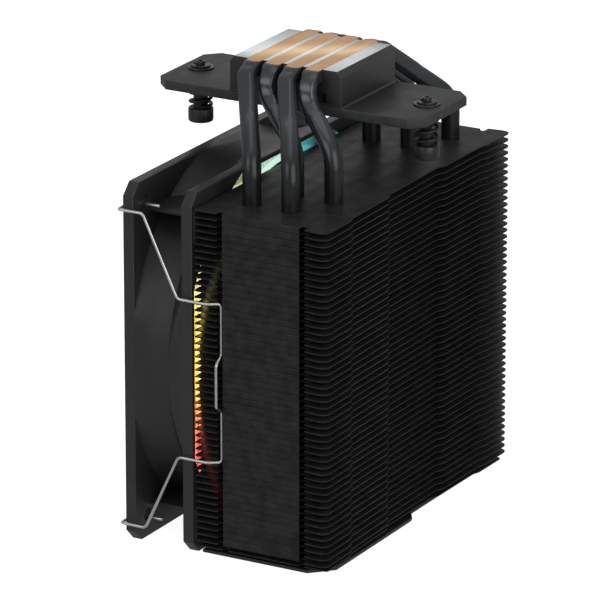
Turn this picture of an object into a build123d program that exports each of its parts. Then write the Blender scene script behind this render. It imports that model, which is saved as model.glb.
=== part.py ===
from build123d import *
import os
from math import sin, cos, tan, radians, sqrt, pi

os.makedirs("parts", exist_ok=True)

# ---------------------------------------------------------------- driving dimensions, mm
# Working frame: X across the tower, Y along the air flow from the fan's intake face,
# Z up from the underside of the cover. Every node is shifted by -Y_BASE at the end, so
# the shared frame has its origin under the middle of the cold plate.
Y_BASE = 34.7            # middle of the cold plate behind the fan's intake face

FAN = 120.0              # standard 120 mm fan
FAN_T = 25.0
FAN_Z = 60.0             # fan axis height
FLANGE_T = 3.84
CORNER = 3.9             # corner cut of the flanges
HOLE_PITCH = 105.0
HOLE_R = 2.2
DUCT_R = 60.0
BORE_R = 56.0
RING_R = 65.0            # light ring outline, trimmed by a square
RING_SQ = 58.5
RING_FLOOR = 22.4

PITCH = 2.2              # fin pitch
FIN_T = 0.4
FIN_TOP = 115.6
N_TABBED = 50            # fins with folded side tabs
FIN_X = 60.2
FIN_Y0 = 25.8
WALL_Y0, WALL_Y1 = 36.1, 63.6
GROOVE_Y0 = 34.0         # clip groove, ends at the folded wall
SLOT_Y1 = 65.9           # rear slot
PIPE_R = 3.0

FOOT_OUT, FOOT_IN = 46.2, 31.4           # pipe rows in the fins, from the middle
FOOT_Y = [38.9, 45.9, 52.9, 59.9]
BASE_Y = [Y_BASE - 10.8, Y_BASE - 3.6, Y_BASE + 3.6, Y_BASE + 10.8]

TOP_Z = 153.3            # cold plate contact face
BLOCK_X = 17.7
BLOCK_Y0, BLOCK_Y1 = 14.5, 54.9
BLOCK_Z0 = 141.5
BEVEL = 1.5

BAR_Z0, BAR_Z1 = 138.4, 141.5            # crossbar plate
BAR_X = 18.0
BAR_HALF = 48.2
BAR_CUT = 4.4
SCREW_SPACING = 82.5
SCREW_Y = {"left": Y_BASE - SCREW_SPACING / 2, "right": Y_BASE + SCREW_SPACING / 2}

COVER_T = 1.2
WIRE_R = 0.5


def save(shape, name):
    moved = Pos(0, -Y_BASE, 0) * shape
    solids = moved.solids()
    out = solids[0] if len(solids) == 1 else Compound(children=list(solids))
    export_step(out, "parts/" + name + ".step")


def box(x0, x1, y0, y1, z0, z1):
    return Pos((x0 + x1) / 2, (y0 + y1) / 2, (z0 + z1) / 2) * Box(x1 - x0, y1 - y0, z1 - z0)


def cyl_z(x, y, z0, z1, r):
    return Pos(x, y, (z0 + z1) / 2) * Cylinder(r, z1 - z0)


def cyl_y(x, z, y0, y1, r):
    """cylinder along Y"""
    return Pos(x, (y0 + y1) / 2, z) * Rot(90, 0, 0) * Cylinder(r, y1 - y0)


def cone_z(x, y, z0, z1, r0, r1):
    return Pos(x, y, (z0 + z1) / 2) * Cone(r0, r1, z1 - z0)


def plate(points, z0, z1):
    return Pos(0, 0, z0) * extrude(make_face(Polyline(*points, close=True)), z1 - z0)


def slab_y(points, y0, y1):
    """prism along Y from (x, z) points"""
    face = make_face(Polyline(*[(x, y0, z) for x, z in points], close=True))
    return extrude(face, y1 - y0, dir=(0, 1, 0))


def square_oct(half, cut):
    h, c = half, half - cut
    return [(-c, -h), (c, -h), (h, -c), (h, c), (c, h), (-c, h), (-h, c), (-h, -c)]


# ---------------------------------------------------------------- heat pipes
PIPE_Z = TOP_Z - 2.7


def leg(i, inner):
    """one leg of pipe i from its foot up to the base, with its corner radii"""
    yb, yf = BASE_Y[i], FOOT_Y[i]
    if inner:
        return [(FOOT_IN, yf, 1.9), (FOOT_IN, yf, 131.0), (23.2, yb + 0.4, 144.0), (22.3, yb, PIPE_Z - 0.3)], [11.0, 7.0, 3.6]
    return [(FOOT_OUT, yf, 1.9), (FOOT_OUT, yf, 129.5), (23.5, yb, PIPE_Z - 0.3)], [11.0, 6.0]


def pipe_path(i):
    """U path of pipe i: down into the fins on both sides, straight through the base"""
    near, rn = leg(i, i % 2 == 1)
    far, rf = leg(i, i % 2 == 0)
    return near + [(-x, y, z) for x, y, z in reversed(far)], rn + rf[::-1]


def rounded_path(pts, radii):
    """polyline through pts with each inner corner rounded by its own radius (0 keeps it)"""
    edges = []
    cur = Vector(*pts[0])
    for k in range(1, len(pts) - 1):
        p, a, b = Vector(*pts[k]), Vector(*pts[k - 1]), Vector(*pts[k + 1])
        u, v = (a - p).normalized(), (b - p).normalized()
        ang = u.get_angle(v)
        r = radii[k - 1]
        if r <= 0 or ang > 179.5:
            continue
        t = r / tan(radians(ang / 2))
        s, e = p + u * t, p + v * t
        bis = (u + v).normalized()
        mid = p + bis * (r / sin(radians(ang / 2)) - r)
        if (s - cur).length > 1e-4:
            edges.append(Line(cur, s))
        edges.append(ThreePointArc(s, mid, e))
        cur = e
    edges.append(Line(cur, Vector(*pts[-1])))
    return Wire(edges)


def tube(pts, radii, r):
    path = rounded_path(pts, radii)
    return sweep(Plane(origin=path @ 0, z_dir=path % 0) * Circle(r), path=path, transition=Transition.RIGHT)


pipes = []
for i in range(4):
    pts, radii = pipe_path(i)
    raw = tube(pts, radii, PIPE_R)
    raw = raw - box(-40, 40, 0, 80, TOP_Z, TOP_Z + 5)
    # the pressed length: wide, flat on top and rounded below
    w = 2.75
    sec = Plane.YZ * make_face(Polyline((BASE_Y[i] - w, TOP_Z), (BASE_Y[i] + w, TOP_Z), (BASE_Y[i] + w, TOP_Z - 3.2),
                                        (BASE_Y[i] + 1.6, TOP_Z - 5.4), (BASE_Y[i] - 1.6, TOP_Z - 5.4),
                                        (BASE_Y[i] - w, TOP_Z - 3.2), close=True))
    pressed = Pos(-18.8, 0, 0) * extrude(sec, 37.6, dir=(1, 0, 0))
    pipes.append(raw + pressed)
for i, p in enumerate(pipes):
    save(p, "heat_pipe_%d" % (i + 1))

# ---------------------------------------------------------------- fins
half = [(FIN_X, FIN_Y0), (FIN_X, GROOVE_Y0), (58.3, GROOVE_Y0), (58.3, WALL_Y0), (FIN_X, WALL_Y0), (FIN_X, WALL_Y1),
        (58.2, WALL_Y1), (58.2, SLOT_Y1), (61.2, SLOT_Y1), (61.7, 70.6), (61.6, 72.4), (60.8, 73.6), (59.4, 74.2),
        (45.6, 74.0), (44.2, 73.6), (42.8, 73.1), (19.0, 72.8), (17.6, 72.3), (16.2, 71.5)]
outline = [(-x, y) for x, y in reversed(half)] + half
inset = [(min(abs(x), 60.3) * (1 if x > 0 else -1) - (1.3 if x > 0 else -1.3), y + (1.0 if y < 50 else -1.0))
         for x, y in outline]
feet = []
for i in range(4):
    q = pipe_path(i)[0]
    feet += [(q[0][0], q[0][1]), (q[-1][0], q[-1][1])]

blank = plate([(x, y) for x, y in outline], -FIN_T, 0)
for x, y in feet:
    blank = blank + cyl_z(x, y, -PITCH + 0.1, -FIN_T / 2, PIPE_R + 0.35)
for x, y in feet:
    blank = blank - cyl_z(x, y, -5, 5, PIPE_R)
tab = box(FIN_X - FIN_T, FIN_X, WALL_Y0, WALL_Y1, -PITCH + 0.02, -FIN_T / 2)
tab_m = box(-FIN_X, -FIN_X + FIN_T, WALL_Y0, WALL_Y1, -PITCH + 0.02, -FIN_T / 2)
tabbed = blank + tab + tab_m
end_fin = plate(inset, -FIN_T, 0)
for x, y in feet:
    end_fin = end_fin - cyl_z(x, y, -5, 5, PIPE_R)
fins = [Pos(0, 0, FIN_TOP - PITCH * k) * tabbed for k in range(N_TABBED)]
fins.append(Pos(0, 0, FIN_TOP - PITCH * N_TABBED) * blank)
fins.append(Pos(0, 0, FIN_TOP - PITCH * (N_TABBED + 1)) * end_fin)
save(Compound(children=[f.solids()[0] for f in fins]), "fin_stack")
END_UNDER = FIN_TOP - PITCH * (N_TABBED + 1) - FIN_T

# ---------------------------------------------------------------- cover
cover = plate([(56.3, 26.3), (56.3, 64.4), (49.2, 71.2), (0.4, 71.2), (-1.4, 70.9), (-4.0, 69.2), (-4.8, 68.1),
               (-54.6, 68.1), (-56.3, 66.4), (-56.3, 26.3)], 0, COVER_T)
for x in (-16, 16):
    for y in (36.0, 62.0):
        cover = cover + cyl_z(x, y, COVER_T - 0.2, END_UNDER, 4.0)
save(cover, "cover_plate")

# ---------------------------------------------------------------- base, crossbar and its screws
block = box(-BLOCK_X, BLOCK_X, BLOCK_Y0, BLOCK_Y1, BLOCK_Z0, TOP_Z)
for s, y in ((1, BLOCK_Y1), (-1, BLOCK_Y0)):
    wedge = Plane.YZ * make_face(Polyline((y, TOP_Z - 1.9), (y + s * 1, TOP_Z - 1.9), (y + s * 1, TOP_Z + 1),
                                          (y - s * BEVEL - s * 0.79, TOP_Z + 1), close=True))
    block = block - (Pos(-30, 0, 0) * extrude(wedge, 60, dir=(1, 0, 0)))
block = block - box(BLOCK_X - 3, BLOCK_X + 1, 47.9, 49.4, 142.6, 145.4)
for p in pipes:
    block = block - p

yl, yr = Y_BASE - BAR_HALF, Y_BASE + BAR_HALF
bar = plate([(-BAR_X + BAR_CUT, yl), (BAR_X - BAR_CUT, yl), (BAR_X, yl + BAR_CUT), (BAR_X, yr - BAR_CUT),
             (BAR_X - BAR_CUT, yr), (-BAR_X + BAR_CUT, yr), (-BAR_X, yr - BAR_CUT), (-BAR_X, yl + BAR_CUT)],
            BAR_Z0, BAR_Z1)
screws = []
for x in (-11.0, 11.0):
    for y in (Y_BASE - 14.4, Y_BASE + 14.4):
        solid = cone_z(x, y, BAR_Z0, BAR_Z0 + 1.5, 2.9, 1.5) + cyl_z(x, y, BAR_Z0 + 0.7, 146.2, 1.5)
        bar = bar - solid
        block = block - solid
        socket = Pos(x, y, BAR_Z0 + 0.4) * (Box(2.6, 0.7, 1.2) + Box(0.7, 2.6, 1.2))
        screws.append((solid - socket).solids()[0])
for y in SCREW_Y.values():
    bar = bar - cyl_z(0, y, BAR_Z0 - 1, BAR_Z1 + 1, 1.75)
save(block, "base_block")
save(bar, "mounting_bracket")
save(Compound(children=screws), "bracket_screws")

# ---------------------------------------------------------------- sprung mounting screws
HEAD_Z0, HEAD_Z1 = 123.8, 128.5
for side, y in SCREW_Y.items():
    screw = cyl_z(0, y, HEAD_Z0, HEAD_Z1, 4.1)
    screw = chamfer(screw.edges().filter_by(GeomType.CIRCLE), 0.35)
    screw = screw + cyl_z(0, y, HEAD_Z1 - 0.5, 133.2, 2.4) + cyl_z(0, y, 133.0, 142.02, 1.68)
    screw = screw + cyl_z(0, y, 142.0, 142.7, 1.3) + cyl_z(0, y, 142.68, 143.5, 1.5) + cone_z(0, y, 143.49, 143.9, 1.5, 1.15)
    screw = screw - cyl_z(0, y, 143.2, 145, 0.8)
    screw = screw - (Pos(0, y, HEAD_Z0) * (Box(4.2, 0.9, 4.0) + Box(0.9, 4.2, 4.0)))
    save(screw, "spring_screw_" + side)
    washer = cyl_z(0, y, 141.52, 142.0, 4.3) - cyl_z(0, y, 140, 144, 1.75)
    save(washer, "stem_washer_" + side)
    clip = cyl_z(0, y, 142.04, 142.64, 3.3) - cyl_z(0, y, 140, 144, 1.35)
    clip = clip - box(-0.95, 0.95, y - 6, y, 141, 144)
    clip = clip - cyl_z(2.3, y + 0.2, 141, 144, 0.8) - cyl_z(-2.3, y + 0.2, 141, 144, 0.8)
    save(clip, "e_clip_" + side)
    sw = 0.6
    turns, h = 3.0, (BAR_Z0 - HEAD_Z1) - 2 * sw - 0.04
    coil = Pos(0, y, HEAD_Z1 + sw + 0.02) * Helix(pitch=h / turns, height=h, radius=3.4)
    spring = sweep(Plane(origin=coil @ 0, z_dir=coil % 0) * Circle(sw), path=coil, is_frenet=True)
    save(spring, "screw_spring_" + side)

# ---------------------------------------------------------------- fan housing
Zc = FAN_Z
frame_pts = [(x, z + Zc) for x, z in square_oct(FAN / 2, CORNER)]
frame = slab_y(frame_pts, 0, FLANGE_T) + slab_y(frame_pts, FAN_T - FLANGE_T, FAN_T)
# duct wall: a short taper behind the front flange, a wide flare before the rear one,
# both cut flat where they reach the frame's square
duct = revolve(make_face(Polyline((50, 3.3), (62.4, 3.3), (62.4, FLANGE_T), (DUCT_R, 8.5), (DUCT_R, 16.2), (65.0, 21.16),
                                  (65.0, 21.7), (50, 21.7), close=True)), axis=Axis.Y)
frame = frame + ((Pos(0, 0, Zc) * duct) & box(-60, 60, 0, 25, Zc - 60, Zc + 60))
for s in (-1, 1):
    for d in (-49.5, 49.5):
        x0, x1 = (20, 50) if s > 0 else (-50, -20)
        frame = frame + box(x0, x1, 3, 22, Zc + d - 0.6, Zc + d + 0.6)
frame = frame - cyl_y(0, Zc, -1, FAN_T + 1, BORE_R)
frame = frame - (Pos(0, 1.15, Zc) * Rot(90, 0, 0) * Cone(BORE_R - 0.1, 58.6, 2.7))
recess = (cyl_y(0, Zc, RING_FLOOR, FAN_T + 1, RING_R) & box(-RING_SQ, RING_SQ, 0, 40, Zc - RING_SQ, Zc + RING_SQ))
frame = frame - recess
for x in (-HOLE_PITCH / 2, HOLE_PITCH / 2):
    for z in (-HOLE_PITCH / 2, HOLE_PITCH / 2):
        frame = frame - cyl_y(x, Zc + z, -1, FAN_T + 1, HOLE_R)
# motor seat, its bearing tube and four struts
MOTOR_R = 20.5
seat = cyl_y(0, Zc, 17.4, 21.1, MOTOR_R) + cyl_y(0, Zc, 7.0, 18.0, 4.8)
for a in (45, 135, 225, 315):
    strut = Pos(0, 19.45, Zc) * Rot(0, a, 0) * Pos(39, 0, 0) * Box(39, 3.3, 3.2)
    seat = seat + strut
seat = seat & cyl_y(0, Zc, -1, 30, BORE_R + 1.0)
frame = frame + seat - cyl_y(0, Zc, 5, 19.9, 3.6)
save(frame, "fan_frame")

# light ring: diffuser with an inner skirt, board and chips in the channel behind it
sq = box(-RING_SQ, RING_SQ, 0, 40, Zc - RING_SQ, Zc + RING_SQ)
diff = (cyl_y(0, Zc, 23.8, FAN_T, RING_R) & sq) + cyl_y(0, Zc, RING_FLOOR, FAN_T, BORE_R + 0.9)
diff = diff - cyl_y(0, Zc, 10, 40, BORE_R)
save(diff, "light_ring")
sq2 = box(-RING_SQ + 0.3, RING_SQ - 0.3, 0, 40, Zc - RING_SQ + 0.3, Zc + RING_SQ - 0.3)
board = (cyl_y(0, Zc, RING_FLOOR, 23.0, RING_R - 0.4) & sq2) - cyl_y(0, Zc, 10, 40, BORE_R + 1.1)
save(board, "light_board")
chips = []
for q in range(4):
    for d in (-15, 0, 15):
        a = 45 + 90 * q + d
        chips.append((Pos(0, 23.3, Zc) * Rot(0, a, 0) * Pos(61, 0, 0) * Box(2.8, 0.6, 3.2)).solids()[0])
save(Compound(children=chips), "leds")

# soft corner pads between the fan and the fins
pads = []
for sx in (-1, 1):
    for z0, z1 in ((4.6, 15.4), (104.0, 114.8)):
        x0, x1 = (50.2, 59.4) if sx > 0 else (-59.4, -50.2)
        pad = box(x0, x1, FAN_T, FIN_Y0, z0, z1)
        hz = Zc - HOLE_PITCH / 2 if z0 < 60 else Zc + HOLE_PITCH / 2
        pad = pad - cyl_y(sx * HOLE_PITCH / 2, hz, 20, 30, 1.2)
        pads.append(pad.solids()[0])
save(Compound(children=pads), "fan_pads")

# ---------------------------------------------------------------- motor, fixed side
sleeve = cyl_y(0, Zc, 7.2, 18.0, 3.6) - cyl_y(0, Zc, 0, 30, 1.55)
save(sleeve, "bearing_sleeve")
core = cyl_y(0, Zc, 8.0, 14.0, 7.0)
for a in (0, 90, 180, 270):
    core = core + (Pos(0, 11, Zc) * Rot(0, a, 0) * Pos(9.5, 0, 0) * Box(8, 6, 3.4))
    arc = (cyl_y(0, Zc, 8, 14, 15.2) - cyl_y(0, Zc, 7, 15, 13.2)) & (Pos(0, 11, Zc) * Rot(0, a, 0) * Pos(14, 0, 0) * Box(6, 6, 16))
    core = core + arc
core = core - cyl_y(0, Zc, 5, 20, 4.8)
save(core, "stator_core")
coils = []
for a in (0, 90, 180, 270):
    c = Pos(0, 11, Zc) * Rot(0, a, 0) * Pos(10.2, 0, 0) * (Box(5.2, 8.4, 6.2) - Box(6, 6.0, 3.4))
    coils.append(c.solids()[0])
save(Compound(children=coils), "stator_coils")
pcb = cyl_y(0, Zc, 16.4, 17.4, 15.2) - cyl_y(0, Zc, 10, 20, 4.8)
save(pcb, "motor_board")

# ---------------------------------------------------------------- rotor
HUB_R = 20.0
hub = cyl_y(0, Zc, 2.0, 16.6, HUB_R) - cyl_y(0, Zc, 3.6, 20, 18.6)
hub = hub + cyl_y(0, Zc, 3.0, 6.4, 3.4)
N_BLADES = 9
BLADE_R = 55.2


def blade_section(r, y_mid, rise, chord, sweep_deg, t):
    """thin section across a blade at radius r, in the plane square to the radius"""
    c2, a = chord / 2, rise
    pts = [(-c2, y_mid - a), (0, y_mid + 0.8), (c2, y_mid + a)]
    up = [(x, y + t / 2) for x, y in pts]
    dn = [(x, y - t / 2) for x, y in pts]
    ring = up + dn[::-1]
    th = radians(sweep_deg)
    out = []
    for x, y in ring:
        # local: radial r, tangential x, axial y
        out.append((r * cos(th) - x * sin(th), y, Zc + r * sin(th) + x * cos(th)))
    return make_face(Polyline(*out, close=True))


blade = loft([blade_section(18.9, 9.4, 4.6, 12.5, 0, 1.9), blade_section(36, 9.2, 4.9, 22.5, 4, 1.5),
              blade_section(57, 9.0, 4.5, 31.0, 14, 1.1)])
blade = blade & cyl_y(0, Zc, 0, 20, BLADE_R)
impeller = hub
for k in range(N_BLADES):
    impeller = impeller + (Pos(0, 0, Zc) * Rot(0, 360 / N_BLADES * k, 0) * Pos(0, 0, -Zc) * blade)
impeller = impeller - cyl_y(0, Zc, 3.6, 20, 18.6) + cyl_y(0, Zc, 3.0, 6.4, 3.4) - cyl_y(0, Zc, 2.6, 30, 1.5)
save(impeller, "impeller")
yoke = cyl_y(0, Zc, 3.6, 15.8, 18.6) - cyl_y(0, Zc, 4.4, 20, 17.6) - cyl_y(0, Zc, 0, 20, 3.4)
save(yoke, "rotor_yoke")
magnet = cyl_y(0, Zc, 5.5, 15.2, 17.6) - cyl_y(0, Zc, 0, 20, 15.8)
save(magnet, "rotor_magnet")
shaft = cyl_y(0, Zc, 2.6, 19.5, 1.5) - (cyl_y(0, Zc, 18.35, 18.85, 3) - cyl_y(0, Zc, 18, 19, 1.2))
save(shaft, "rotor_shaft")
keeper = cyl_y(0, Zc, 18.4, 18.8, 2.9) - cyl_y(0, Zc, 18, 19, 1.2) - box(0, 6, 18, 19, Zc - 0.5, Zc + 0.5)
save(keeper, "shaft_retainer")

# ---------------------------------------------------------------- wire clips
ZM = (FIN_TOP - 13 * PITCH - FIN_T + FIN_TOP - 14 * PITCH + FIN_TOP - 37 * PITCH - FIN_T + FIN_TOP - 38 * PITCH) / 4
ARM = 12 * PITCH         # the two inner arms each pass through the gap between two fins
hook = 52.6
half_clip = [(52.5, 9.2, hook), (52.5, -0.9, hook), (61.5, -0.9, hook), (61.5, 8.2, hook), (61.5, 20.6, ARM),
             (61.5, 31.2, ARM), (58.9, 35.05, ARM), (58.9, 35.05, 9.4)]
full = [(x, y, ZM + z) for x, y, z in half_clip] + [(62.3, 35.05, ZM + 7.0), (62.3, 35.05, ZM - 7.0)] \
    + [(x, y, ZM - z) for x, y, z in reversed(half_clip)]
rad = [1.2, 1.2, 2.0, 2.0, 1.5, 1.2, 1.2, 1.2, 1.2, 1.2, 1.2, 1.5, 2.0, 2.0, 1.2, 1.2]
wire = tube(full, rad, WIRE_R)
save(wire, "fan_clip_right")
save(mirror(wire, about=Plane.YZ), "fan_clip_left")
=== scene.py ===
import bpy
import bmesh
from math import sin, cos, tan, radians, pi, sqrt, atan2, hypot, exp
from mathutils import Vector, Matrix


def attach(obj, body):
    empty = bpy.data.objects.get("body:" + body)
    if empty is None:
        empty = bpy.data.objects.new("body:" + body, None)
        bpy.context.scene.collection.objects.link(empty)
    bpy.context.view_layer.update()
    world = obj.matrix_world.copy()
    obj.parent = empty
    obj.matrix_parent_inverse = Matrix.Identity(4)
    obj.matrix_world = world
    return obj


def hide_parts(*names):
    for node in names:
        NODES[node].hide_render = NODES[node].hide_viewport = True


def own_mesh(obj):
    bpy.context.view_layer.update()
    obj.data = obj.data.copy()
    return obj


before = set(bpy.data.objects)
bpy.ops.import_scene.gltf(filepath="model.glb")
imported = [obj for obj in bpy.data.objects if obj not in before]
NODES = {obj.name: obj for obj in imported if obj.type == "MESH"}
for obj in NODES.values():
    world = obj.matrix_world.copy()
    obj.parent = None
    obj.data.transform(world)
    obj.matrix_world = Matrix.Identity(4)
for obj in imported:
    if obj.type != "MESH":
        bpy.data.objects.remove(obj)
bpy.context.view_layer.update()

# Shapes are written in millimetres with Y measured from the fan's intake face;
# finish_piece() turns them into metres in the shared frame.
Y0 = 34.7
TO_FRAME = Matrix.Translation((0, -Y0 * 1e-3, 0)) @ Matrix.Scale(1e-3, 4)
FAN_Z = 60.0


# ------------------------------------------------------------------ materials
class Mat:
    """small helper that wires a procedural material from noises in real-size object space"""

    def __init__(self, name):
        self.m = bpy.data.materials.new(name)
        self.m.use_nodes = True
        self.t = self.m.node_tree
        self.t.nodes.clear()
        self.out = self.t.nodes.new("ShaderNodeOutputMaterial")
        self.b = self.t.nodes.new("ShaderNodeBsdfPrincipled")
        self.t.links.new(self.b.outputs[0], self.out.inputs[0])
        self.co = self.t.nodes.new("ShaderNodeTexCoord").outputs["Object"]
        self.height = []

    def node(self, kind, **kw):
        n = self.t.nodes.new(kind)
        for k, v in kw.items():
            setattr(n, k, v)
        return n

    def link(self, a, b):
        self.t.links.new(a, b)

    def scaled(self, sx, sy, sz):
        n = self.node("ShaderNodeMapping")
        n.inputs["Scale"].default_value = (sx, sy, sz)
        self.link(self.co, n.inputs["Vector"])
        return n.outputs[0]

    def noise(self, scale, detail=3.0, rough=0.5, stretch=(1, 1, 1), distortion=0.0):
        n = self.node("ShaderNodeTexNoise")
        n.inputs["Scale"].default_value = scale
        n.inputs["Detail"].default_value = detail
        n.inputs["Roughness"].default_value = rough
        n.inputs["Distortion"].default_value = distortion
        self.link(self.scaled(*stretch), n.inputs["Vector"])
        return n.outputs["Fac"]

    def voronoi(self, scale, stretch=(1, 1, 1), feature="F1"):
        n = self.node("ShaderNodeTexVoronoi", feature=feature)
        n.inputs["Scale"].default_value = scale
        self.link(self.scaled(*stretch), n.inputs["Vector"])
        return n.outputs["Distance"]

    def remap(self, v, a, b, lo, hi, smooth=False):
        n = self.node("ShaderNodeMapRange")
        if smooth:
            n.interpolation_type = "SMOOTHSTEP"
        n.inputs["From Min"].default_value = a
        n.inputs["From Max"].default_value = b
        n.inputs["To Min"].default_value = lo
        n.inputs["To Max"].default_value = hi
        self.link(v, n.inputs["Value"])
        return n.outputs["Result"]

    def math(self, op, a, b=None, c=None):
        n = self.node("ShaderNodeMath", operation=op)
        for i, v in enumerate((a, b, c)):
            if v is None:
                continue
            if isinstance(v, (int, float)):
                n.inputs[i].default_value = v
            else:
                self.link(v, n.inputs[i])
        return n.outputs[0]

    def mix(self, fac, a, b):
        n = self.node("ShaderNodeMix", data_type="RGBA")
        if isinstance(fac, (int, float)):
            n.inputs[0].default_value = fac
        else:
            self.link(fac, n.inputs[0])
        for i, v in ((6, a), (7, b)):
            if isinstance(v, tuple):
                n.inputs[i].default_value = (*v[:3], 1)
            else:
                self.link(v, n.inputs[i])
        return n.outputs[2]

    def fmix(self, fac, a, b):
        n = self.node("ShaderNodeMix", data_type="FLOAT")
        if isinstance(fac, (int, float)):
            n.inputs[0].default_value = fac
        else:
            self.link(fac, n.inputs[0])
        for i, v in ((2, a), (3, b)):
            if isinstance(v, (int, float)):
                n.inputs[i].default_value = v
            else:
                self.link(v, n.inputs[i])
        return n.outputs[0]

    def edge(self, lo=0.505, hi=0.56):
        """mask of convex rims from the mesh's own curvature, used for painted edge highlight and rubbed wear"""
        g = self.node("ShaderNodeNewGeometry")
        return self.remap(g.outputs["Pointiness"], lo, hi, 0, 1)

    def xyz(self):
        n = self.node("ShaderNodeSeparateXYZ")
        self.link(self.co, n.inputs[0])
        return n.outputs

    def bump(self, *layers):
        """layers of (height socket, depth in metres)"""
        total = None
        for h, d in layers:
            v = self.math("MULTIPLY", h, d)
            total = v if total is None else self.math("ADD", total, v)
        n = self.node("ShaderNodeBump")
        n.inputs["Strength"].default_value = 1.0
        n.inputs["Distance"].default_value = 1.0
        self.link(total, n.inputs["Height"])
        self.link(n.outputs[0], self.b.inputs["Normal"])

    def set(self, **kw):
        for k, v in kw.items():
            s = self.b.inputs[k.replace("_", " ")]
            if isinstance(v, (int, float)):
                s.default_value = v
            elif isinstance(v, tuple):
                s.default_value = (*v[:3], 1) if len(v) == 3 else v
            else:
                self.link(v, s)
        return self.m


def painted(name, base, light, rough, spread=0.06, grain=900.0, grain_depth=6e-6, edge=None, edge_fac=0.6,
            metallic=0.0, specular=0.5, coat=0.0, cloud=45.0):
    """plain coated or moulded surface: clouded colour, fine grain, rims lightened as painted edge highlight, broken up
    like rubbed wear
    """
    k = Mat(name)
    cloud_f = k.noise(cloud, 4, 0.55)
    fine = k.noise(grain, 3, 0.6)
    col = k.mix(k.remap(cloud_f, 0.3, 0.7, 0, 1), base, light)
    speck = k.remap(fine, 0.62, 0.75, 0, 0.35)
    col = k.mix(speck, col, tuple(min(1, c * 1.8 + 0.004) for c in light))
    r = k.remap(k.noise(cloud * 2.3, 4, 0.6), 0.3, 0.7, rough - spread, rough + spread)
    r = k.math("ADD", r, k.remap(fine, 0.3, 0.7, -0.03, 0.05))
    # rims lightened: painted edge highlight, broken up by noise like rubbed wear
    if edge:
        e = k.math("MULTIPLY", k.edge(), k.remap(k.noise(230, 3, 0.6), 0.35, 0.65, 0.35, 1.0))
        col = k.mix(k.math("MULTIPLY", e, edge_fac), col, edge)
        r = k.math("SUBTRACT", r, k.math("MULTIPLY", e, 0.1))
    k.bump((fine, grain_depth), (cloud_f, grain_depth * 2))
    return k.set(Base_Color=col, Roughness=r, Metallic=metallic, Specular_IOR_Level=specular, Coat_Weight=coat)


M = {}
# each coat's edge colour lightens its rims as painted edge highlight with rubbed wear
M["fin"] = painted("fin_black_coat", (0.0145, 0.0147, 0.0147), (0.0172, 0.0176, 0.0174), 0.46, 0.03, 1500, 3e-6, (0.065, 0.065, 0.065), 0.5, cloud=28, specular=0.13)
M["cover"] = painted("cover_black", (0.015, 0.015, 0.0155), (0.021, 0.021, 0.0215), 0.38, 0.05, 1300, 4e-6, (0.07, 0.07, 0.07), 0.5)
M["bar"] = painted("bracket_black", (0.027, 0.0275, 0.029), (0.036, 0.037, 0.039), 0.46, 0.05, 1600, 8e-6, (0.09, 0.095, 0.1), 0.5, cloud=60, specular=0.3)
M["frame"] = painted("fan_plastic", (0.028, 0.0285, 0.0288), (0.036, 0.0365, 0.0368), 0.43, 0.05, 1100, 9e-6, (0.06, 0.06, 0.062), 0.35, cloud=35)
M["blade"] = painted("blade_plastic", (0.026, 0.026, 0.0265), (0.033, 0.033, 0.034), 0.36, 0.05, 900, 5e-6, None, cloud=30)
M["screw"] = painted("screw_black_oxide", (0.022, 0.022, 0.021), (0.034, 0.034, 0.032), 0.36, 0.07, 2200, 4e-6, (0.12, 0.12, 0.12), 0.5, metallic=0.35, cloud=160)
M["spring"] = painted("spring_black_oxide", (0.03, 0.03, 0.028), (0.05, 0.05, 0.046), 0.32, 0.08, 2500, 3e-6, None, metallic=0.5, cloud=240)
M["pad"] = painted("pad_rubber", (0.012, 0.012, 0.012), (0.02, 0.02, 0.02), 0.8, 0.06, 1400, 2e-5, None, cloud=80)
M["nylon"] = painted("nylon_keeper", (0.55, 0.53, 0.48), (0.68, 0.66, 0.6), 0.5, 0.06, 1500, 5e-6, None, cloud=120)
M["board"] = painted("circuit_board", (0.006, 0.035, 0.02), (0.012, 0.06, 0.035), 0.38, 0.08, 1800, 6e-6, None, cloud=180, coat=0.3)
M["motor_board"] = M["board"]


def steel_wire():
    k = Mat("clip_steel_wire")
    along = k.noise(900, 3, 0.6, stretch=(1, 0.25, 0.25))
    cloud = k.noise(120, 4, 0.6)
    col = k.mix(k.remap(cloud, 0.3, 0.7, 0, 1), (0.74, 0.74, 0.75), (0.88, 0.88, 0.88))
    r = k.math("ADD", k.remap(cloud, 0.3, 0.7, 0.2, 0.34), k.remap(along, 0.3, 0.7, -0.04, 0.06))
    k.bump((along, 5e-6))
    return k.set(Base_Color=col, Roughness=r, Metallic=1.0)


def plain_metal(name, a, b, rough, grain=1500, depth=4e-6):
    k = Mat(name)
    cloud = k.noise(150, 4, 0.6)
    fine = k.noise(grain, 3, 0.6, stretch=(1, 0.3, 1))
    col = k.mix(k.remap(cloud, 0.3, 0.7, 0, 1), a, b)
    r = k.math("ADD", k.remap(cloud, 0.3, 0.7, rough - 0.06, rough + 0.06), k.remap(fine, 0.3, 0.7, -0.05, 0.05))
    k.bump((fine, depth))
    return k.set(Base_Color=col, Roughness=r, Metallic=1.0)


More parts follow.
